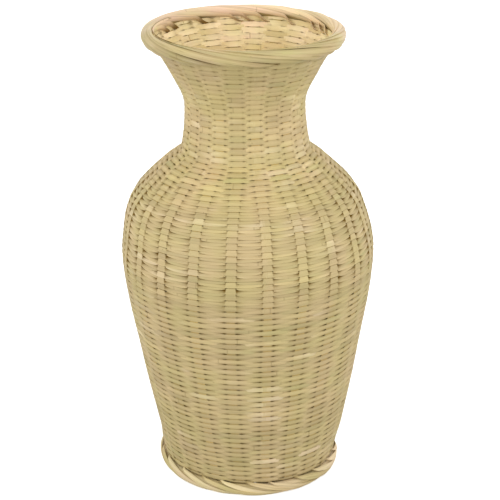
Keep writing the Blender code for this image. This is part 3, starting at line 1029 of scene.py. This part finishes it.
class VASE_OT_roll_foot(bpy.types.Operator):
    """Roll the foot that the vase stands on"""

    bl_idname = "vase.roll_foot"
    bl_label = "Roll the Foot"

    def execute(self, context):
        roll_border(context, "foot", FOOT_MIDDLE, foot_strand, FOOT_SEED, FOOT_HOOP_SHADE)
        return {"FINISHED"}


HOOP_SIDES, HOOP_STEPS, HOOP_TONE = 14, 110, (0.4, 0.5)


def add_hoop(name, centre, node, hollow):
    """The round hoop inside a rolled border."""
    shape = bmesh.new()
    place = Matrix.Translation((centre[0], 0, centre[1])) @ Matrix.Rotation(pi / 2, 4, "X")
    ring = bmesh.ops.create_circle(shape, segments=HOOP_SIDES, radius=HOOP_RADIUS, matrix=place)
    bmesh.ops.spin(shape, geom=ring["verts"] + shape.edges[:], cent=(0, 0, 0), axis=(0, 0, 1),
                   angle=2 * pi, steps=HOOP_STEPS, use_merge=True)
    bmesh.ops.remove_doubles(shape, verts=shape.verts, dist=1e-6)
    bmesh.ops.recalc_face_normals(shape, faces=shape.faces)
    mesh = mesh_of(shape, name)
    place = places_of(mesh)
    azimuth = np.arctan2(place[:, 1], place[:, 0])
    grain = np.stack([azimuth * centre[0], place[:, 2] - centre[1], np.zeros(len(place))], -1)
    finish_piece(name, mesh, "border", node, place, grain,
                 np.tile((*HOOP_TONE, hollow), (len(place), 1)))


MAT_SECTIONS = 81
MAT_LINES = 4  # strips on each side of the middle one, each way
MAT_STEP, MAT_HALF_WIDTH = 0.0093, 0.0043
MAT_THICKNESS, MAT_WAVE = 0.0007, 0.00052
MAT_EDGE = MAT_RADIUS - 0.0042
BINDING_RADII = (0.0447, 0.0468)
BINDING_RISE, BINDING_CLIMB = 0.0012, 0.00015 / 6.3  # its two ends pass each other
BINDING_HALF_WIDTH = 0.00125
BINDING_TURN = 2 * pi * 1.02


class VASE_OT_plait_mat(bpy.types.Operator):
    """Plait the round mat in the middle of the base, and bind its edge"""

    bl_idname = "vase.plait_mat"
    bl_label = "Plait the Base Mat"

    def execute(self, context):
        dice = np.random.default_rng(MAT_SEED)
        runs = []

        def add_run(corners, along, across):
            grain = spread((along, across, dice.random() * GRAINS), across.shape)
            tint = spread((dice.random(), dice.random(), 0.0), across.shape)
            runs.append((corners, grain, tint))
        across = np.tile(MAT_HALF_WIDTH * ACROSS, (MAT_SECTIONS, 1))
        for way in range(2):
            for line in range(-MAT_LINES, MAT_LINES + 1):
                side = line * MAT_STEP + (across if way else -across)
                # its ends are cut along the mat's round edge
                along = np.linspace(-1, 1, MAT_SECTIONS)[:, None] * np.sqrt(
                    MAT_EDGE ** 2 - side ** 2)
                wave = MAT_WAVE * np.cos(pi * (along / MAT_STEP + line + way))
                rise = BASE_HEIGHT + wave + MAT_THICKNESS * OUT
                add_run(np.stack([along, side, rise] if way else [side, along, rise], -1),
                        along, across * 0.5)
        across = np.tile(BINDING_HALF_WIDTH * ACROSS, (MAT_SECTIONS, 1))
        azimuth = np.linspace(0, BINDING_TURN, MAT_SECTIONS)[:, None]
        for level in (-1, 1):
            for radius in BINDING_RADII:
                rise = (BASE_HEIGHT + level * (BINDING_RISE + BINDING_CLIMB * azimuth)
                        + MAT_THICKNESS * OUT)
                add_run(turned(radius - across, rise, azimuth), azimuth * radius, across)
        add_piece("base_plait", Strip(MAT_SECTIONS), runs, "base_weave", "base_mat")
        return {"FINISHED"}


WHITE = (1.0, 1.0, 1.0)
FLOOR_SIZE, FLOOR_GLOW, FLOOR_BOUNCE = 8.0, 0.62, (0.62, 0.62, 0.62)
KEY_SIZE, KEY_PLACE = 1.3, (0, -1.70, 1.00)
KEY_ASIDE, KEY_TILT = radians(58), radians(65)
CAMERA_PLACE = (0, -1.331, 0.723)
CAMERA_TILT, CAMERA_ROLL = radians(90 - 21.41), radians(-1.15)
LENS_SHIFT = (0.0044, -0.0026)


def floor_finish(stage):
    """A floor that looks almost white, and throws back only some of the light on it."""
    finish = Finish("floor_white")
    finish.set(Base_Color=stage.floor, Roughness=0.9, Emission_Color=WHITE,
               Emission_Strength=FLOOR_GLOW)
    show_camera(finish.tree, "Material Output", Link(finish.tree, finish.shader.outputs[0]),
                finish.node("BsdfDiffuse", {"Color": FLOOR_BOUNCE}))
    return finish.material


def even_sky(strength):
    """Even light from all round, with a plain white backdrop for the camera."""
    world = bpy.data.worlds.new("studio")
    world.use_nodes = True
    tree = world.node_tree
    sky = tree.nodes["Background"]
    feed(tree, sky.inputs["Color"], WHITE)
    feed(tree, sky.inputs["Strength"], strength)
    show_camera(tree, "World Output", new_node(tree, "Background", {"Color": WHITE}),
                Link(tree, sky.outputs[0]))
    return world


class VASE_OT_set_stage(bpy.types.Operator):
    """Set the floor, the lights and the camera"""

    bl_idname = "vase.set_stage"
    bl_label = "Set the Stage"

    def execute(self, context):
        scene = context.scene
        stage = scene.vase_stage
        shape = bmesh.new()
        bmesh.ops.create_grid(shape, x_segments=1, y_segments=1, size=FLOOR_SIZE)
        mesh = mesh_of(shape, "floor")
        mesh.materials.append(floor_finish(stage))
        put(scene, "floor", mesh)
        scene.world = even_sky(stage.sky)
        for name, side in (("key_left", -1), ("key_right", 1)):
            key = bpy.data.lights.new(name, "AREA")
            key.shape, key.size, key.energy = "DISK", KEY_SIZE, stage.key
            put(scene, name, key, Matrix.Rotation(side * KEY_ASIDE, 4, "Z")
                @ Matrix.Translation(KEY_PLACE) @ Matrix.Rotation(KEY_TILT, 4, "X"))
        lens = bpy.data.cameras.new("photo_view")
        lens.lens = stage.focal_length
        lens.shift_x, lens.shift_y = LENS_SHIFT
        scene.camera = put(scene, "photo_view", lens, Matrix.Translation(CAMERA_PLACE)
                           @ Matrix.Rotation(CAMERA_TILT, 4, "X")
                           @ Matrix.Rotation(CAMERA_ROLL, 4, "Z"))
        scene.view_settings.view_transform = "Standard"
        return {"FINISHED"}


class VASE_PT_panel(bpy.types.Panel):
    """The vase's settings and its steps, in the 3D view's sidebar"""

    bl_idname = "VASE_PT_panel"
    bl_label = "Woven Vase"
    bl_space_type = "VIEW_3D"
    bl_region_type = "UI"
    bl_category = "Vase"

    def draw(self, context):
        for group in SETTINGS:
            settings = getattr(context.scene, group)
            for key in settings.__annotations__:
                self.layout.prop(settings, key)
        for step in STEPS:
            self.layout.operator(step.bl_idname)


SETTINGS = {"vase_weave": WeaveSettings, "vase_border": BorderSettings,
            "vase_colours": ColourSettings, "vase_stage": StageSettings}
STEPS = (VASE_OT_stand_stakes, VASE_OT_plait_mat, VASE_OT_weave_rows, VASE_OT_roll_rim,
         VASE_OT_roll_foot, VASE_OT_set_stage)
CLASSES = (*SETTINGS.values(), *STEPS, VASE_PT_panel)


def register():
    for kind in CLASSES:
        bpy.utils.register_class(kind)
    for name, kind in SETTINGS.items():
        setattr(bpy.types.Scene, name, PointerProperty(type=kind))


def unregister():
    for name in SETTINGS:
        delattr(bpy.types.Scene, name)
    for kind in reversed(CLASSES):
        bpy.utils.unregister_class(kind)


def main():
    register()
    for step in STEPS:
        getattr(bpy.ops.vase, step.bl_idname.partition(".")[2])()


if __name__ == "__main__":
    main()
